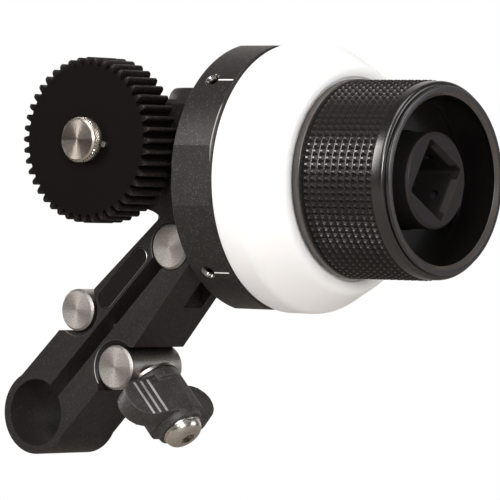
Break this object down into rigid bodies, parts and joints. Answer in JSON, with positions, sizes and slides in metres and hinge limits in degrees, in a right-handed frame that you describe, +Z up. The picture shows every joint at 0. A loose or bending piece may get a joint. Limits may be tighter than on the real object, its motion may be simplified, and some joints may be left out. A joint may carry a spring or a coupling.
{
  "type": "follow focus unit",
  "caption": "Follow focus unit for a camera: rod clamp arm, gearbox with a focus drive gear, white marking disc and knurled handwheel with a square crank socket.",
  "frame": {"origin": "centre of the rod clamp's bore, midway along the bore", "axes": "+Y along the rod, away from the face that carries the drive gear; +X towards the handwheel; +Z up"},
  "size_m": [0.1079, 0.0654, 0.0934],
  "materials": {
    "black_anodised": "fine blasted and black anodised",
    "black_gear": "smooth black hard anodised",
    "black_grip": "knurled and black anodised",
    "grey_hub": "dark grey anodised, turned face",
    "white_disc": "matte white, for pencil marks",
    "white_paint": "paint in engraved lines",
    "black_plastic": "textured charcoal moulding",
    "silver_print": "silver ribs",
    "stainless_steel": "fine turned stainless steel",
    "black_steel": "black oxide",
    "machined_steel": "ground steel",
    "plain_aluminium": "milled, uncoated",
    "bronze": "sintered bronze",
    "nylon": "natural nylon",
    "rubber": "nitrile rubber"
  },
  "bodies": {
    "frame": {"clamp_arm": "black_anodised", "clamp_barrel_nut": "stainless_steel", "clamp_barrel_sleeve": "stainless_steel", "slot_end_plug": "stainless_steel", "arm_fixing_screw": "black_steel", "arm_dowels": "stainless_steel", "gearbox_body": "black_anodised", "gearbox_rear_cover": "black_anodised", "cover_screws": "black_steel", "bearing_plate": "plain_aluminium", "top_plug": "black_anodised", "drag_spring": "machined_steel", "drag_pad": "nylon", "bearing_housing": "black_anodised", "housing_screws": "black_steel", "index_ring": "black_anodised", "index_screws": "stainless_steel", "index_lines": "white_paint", "handwheel_bushes": "bronze", "spindle_bushes": "bronze", "layshaft_bushes": "bronze"},
    "handwheel": {"handwheel_shaft": "machined_steel", "shaft_circlip": "machined_steel", "handwheel_shell": "black_grip", "handwheel_hub": "grey_hub", "hub_screws": "black_steel", "hub_centre_screw": "black_steel", "friction_rings": "rubber", "bevel_gear": "machined_steel"},
    "marking_disc": {"marking_disc": "white_disc"},
    "layshaft": {"layshaft": "machined_steel", "layshaft_spur_gear": "machined_steel", "bevel_pinion": "machined_steel"},
    "gear_spindle": {"gear_spindle": "machined_steel", "spindle_spur_gear": "machined_steel", "spindle_clip": "machined_steel", "drive_gear": "black_gear", "drive_pin": "stainless_steel"},
    "gear_washer": {"gear_washer": "stainless_steel"},
    "gear_screw": {"gear_thumb_screw": "stainless_steel"},
    "clamp_collar": {"clamp_collar": "stainless_steel"},
    "clamp_knob": {"wing_knob": "black_plastic", "knob_stripes": "silver_print", "clamp_screw": "stainless_steel"}
  },
  "joints": [
    {"name": "handwheel_spin", "type": "hinge", "parent": "frame", "child": "handwheel", "pos_m": [0.045, 0.0125, 0.054], "axis": [1, 0, 0], "continuous": true},
    {"name": "disc_index", "type": "hinge", "parent": "handwheel", "child": "marking_disc", "pos_m": [0.06, 0.0125, 0.054], "axis": [1, 0, 0], "continuous": true},
    {"name": "layshaft_spin", "type": "hinge", "parent": "frame", "child": "layshaft", "pos_m": [0.0227, 0, 0.054], "axis": [0, 1, 0], "continuous": true},
    {"name": "spindle_spin", "type": "hinge", "parent": "frame", "child": "gear_spindle", "pos_m": [0.0227, 0, 0.0615], "axis": [0, 1, 0], "continuous": true},
    {"name": "gear_screw_travel", "type": "slide", "parent": "gear_spindle", "child": "gear_washer", "axis": [0, -1, 0], "range_m": [0, 0.00141]},
    {"name": "gear_screw_turn", "type": "hinge", "parent": "gear_washer", "child": "gear_screw", "pos_m": [0.0227, -0.02, 0.0615], "axis": [0, -1, 0], "range_deg": [0, 720]},
    {"name": "clamp_travel", "type": "slide", "parent": "frame", "child": "clamp_collar", "axis": [0.6756, 0, -0.7373], "range_m": [0, 0.00161]},
    {"name": "clamp_turn", "type": "hinge", "parent": "clamp_collar", "child": "clamp_knob", "pos_m": [0.0233, 0, 0.01095], "axis": [0.6756, 0, -0.7373], "range_deg": [0, 720]}
  ],
  "couplings": [
    {"joint": "layshaft_spin", "follows": "handwheel_spin", "ratio": 1},
    {"joint": "spindle_spin", "follows": "handwheel_spin", "ratio": -1},
    {"joint": "gear_screw_travel", "follows": "gear_screw_turn", "m_per_rad": 0.00011141},
    {"joint": "clamp_travel", "follows": "clamp_turn", "m_per_rad": 0.00012732}
  ]
}
